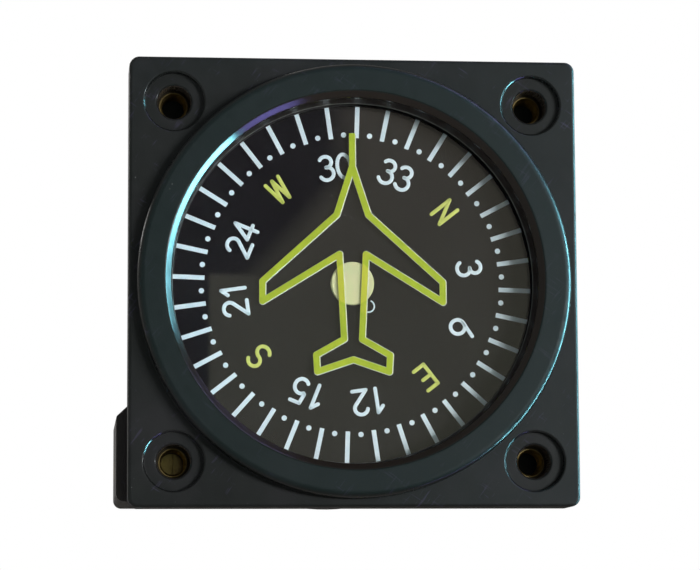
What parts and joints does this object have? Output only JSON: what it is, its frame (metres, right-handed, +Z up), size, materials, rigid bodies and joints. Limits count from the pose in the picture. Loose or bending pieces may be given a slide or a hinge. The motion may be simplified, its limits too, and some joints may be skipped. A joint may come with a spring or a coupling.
{
  "type": "vertical card compass",
  "caption": "Panel-mounted vertical card compass: square flange with a register ring, a geared card turned by a damped magnet, and a corner compensator.",
  "frame": {"origin": "centre of the register ring in the plane of the flange face that seats on the panel", "axes": "+Y aft into the panel, -Y towards the pilot, +X to the viewer's right, +Z up"},
  "size_m": [0.0604, 0.0506, 0.059],
  "materials": {
    "bezel_plastic": "moulded, fine matte texture",
    "insert_brass": "turned",
    "gasket_rubber": "matte",
    "window_glass": "clear, polished",
    "figure_paint": "screen-printed paint",
    "spacer_black": "black anodised",
    "card_black": "matte black paint",
    "mark_paint": "screen-printed paint",
    "hub_plastic": "satin moulded",
    "pivot_steel": "ground, non-magnetic",
    "gear_brass": "machined",
    "movement_aluminium": "satin",
    "magnet_alloy": "ground",
    "cup_copper": "turned copper",
    "jewel": "polished",
    "drum_paint": "satin black paint",
    "housing_plastic": "moulded, fine matte texture",
    "screw_steel": "blackened, non-magnetic",
    "spindle_brass": "turned"
  },
  "bodies": {
    "case": {"bezel": "bezel_plastic", "mounting_inserts": "insert_brass", "window_gasket": "gasket_rubber", "window_glass": "window_glass", "aircraft_symbol": "figure_paint", "window_spacer_ring": "spacer_black", "movement_plate": "movement_aluminium", "retaining_ring": "spacer_black", "frame_pillars": "insert_brass", "frame_screws": "screw_steel", "rotor_frame": "movement_aluminium", "shaft_bushes": "gear_brass", "damping_cup": "cup_copper", "lower_jewel_screw": "spindle_brass", "upper_jewel_screw": "spindle_brass", "pivot_jewels": "jewel", "jewel_lock_nuts": "spindle_brass", "case_drum": "drum_paint", "case_screws": "screw_steel", "compensator_housing": "housing_plastic", "compensator_bearing_plate": "gear_brass", "compensator_cover": "housing_plastic", "compensator_screws": "screw_steel"},
    "card": {"azimuth_card": "card_black", "card_graduations": "mark_paint", "card_hub": "hub_plastic", "card_shaft": "pivot_steel", "card_gear": "gear_brass"},
    "rotor": {"rotor_shaft": "pivot_steel", "rotor_gear": "gear_brass", "magnet_holder": "gear_brass", "rotor_magnet": "magnet_alloy"},
    "ew_adjuster": {"ew_spindle": "spindle_brass", "ew_magnet": "magnet_alloy"},
    "ns_adjuster": {"ns_spindle": "spindle_brass", "ns_magnet": "magnet_alloy"}
  },
  "joints": [
    {"name": "rotor_spin", "type": "hinge", "parent": "case", "child": "rotor", "pos_m": [0, 0.027, 0], "axis": [0, 0, 1], "continuous": true},
    {"name": "card_turn", "type": "hinge", "parent": "case", "child": "card", "pos_m": [0, 0, 0], "axis": [0, -1, 0], "continuous": true},
    {"name": "ew_adjust", "type": "hinge", "parent": "case", "child": "ew_adjuster", "pos_m": [-0.02357, 0.015, -0.02357], "axis": [0, 1, 0], "continuous": true},
    {"name": "ns_adjust", "type": "hinge", "parent": "case", "child": "ns_adjuster", "pos_m": [-0.0255, 0.02375, -0.02365], "axis": [1, 0, 0], "continuous": true}
  ],
  "couplings": [
    {"joint": "rotor_spin", "follows": "card_turn", "ratio": 1}
  ]
}
